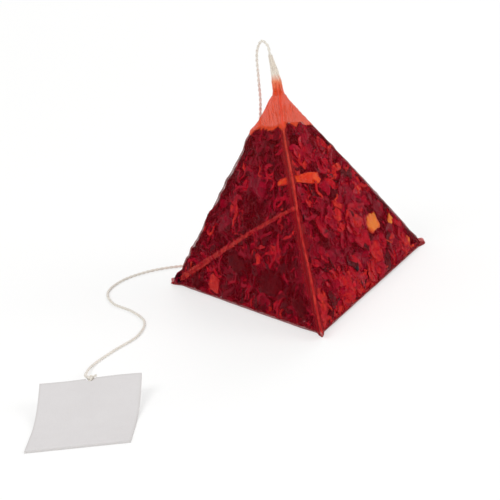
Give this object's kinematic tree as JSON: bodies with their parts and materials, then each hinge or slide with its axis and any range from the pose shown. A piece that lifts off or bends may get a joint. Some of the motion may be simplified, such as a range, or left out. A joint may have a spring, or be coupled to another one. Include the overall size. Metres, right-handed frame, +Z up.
{
  "type": "pyramid tea bag",
  "caption": "Pyramid tea bag of red-stained gauze, packed with dark fruit and flower leaf, with crimped seals, a cotton thread and a blank card tag.",
  "frame": {"origin": "bottom centre of the box round the pouch, on the surface that the bag stands on", "axes": "+Z up, the base face on the XY plane; -Y towards the front corner, where the front end seal starts; +X to the right along the back edge of the base"},
  "size_m": [0.0871, 0.0981, 0.0531],
  "materials": {
    "gauze": "sheer fine woven gauze stained red, cream at the tip",
    "wet_leaf": "packed wet leaf, dark burgundy",
    "petal": "wet flower petal, dark red",
    "dark_leaf": "wet leaf, almost black",
    "rosehip": "fruit shred, bright red",
    "orange_peel": "citrus peel, orange",
    "thread": "twisted cotton thread, off-white",
    "card": "plain light grey card, matt"
  },
  "bodies": {
    "root": {"gauze_pouch": "gauze", "leaf_bed": "wet_leaf", "orange_peel_sliver": "orange_peel", "orange_peel_chip": "orange_peel", "orange_peel_crumb": "orange_peel", "orange_peel_curl": "orange_peel", "orange_peel_front_left": "orange_peel", "orange_peel_back": "orange_peel", "rosehip_shred_right": "rosehip", "rosehip_shred_upper": "rosehip", "rosehip_shred_middle": "rosehip", "rosehip_shred_outer": "rosehip", "rosehip_square": "rosehip", "hibiscus_petal_front_right": "petal", "hibiscus_petal_low_right": "petal", "hibiscus_petal_top_right": "petal", "hibiscus_petal_upper_left": "petal", "hibiscus_petal_middle_left": "petal", "hibiscus_petal_back_left": "petal", "hibiscus_petal_back_right": "petal", "dark_leaf_right": "dark_leaf", "dark_leaf_corner_left": "dark_leaf", "dark_leaf_middle_left": "dark_leaf", "dark_leaf_low_left": "dark_leaf", "dark_leaf_front_left": "dark_leaf", "dark_leaf_back": "dark_leaf", "thread": "thread", "thread_knot": "thread", "card_tag": "card"}
  },
  "joints": []
}
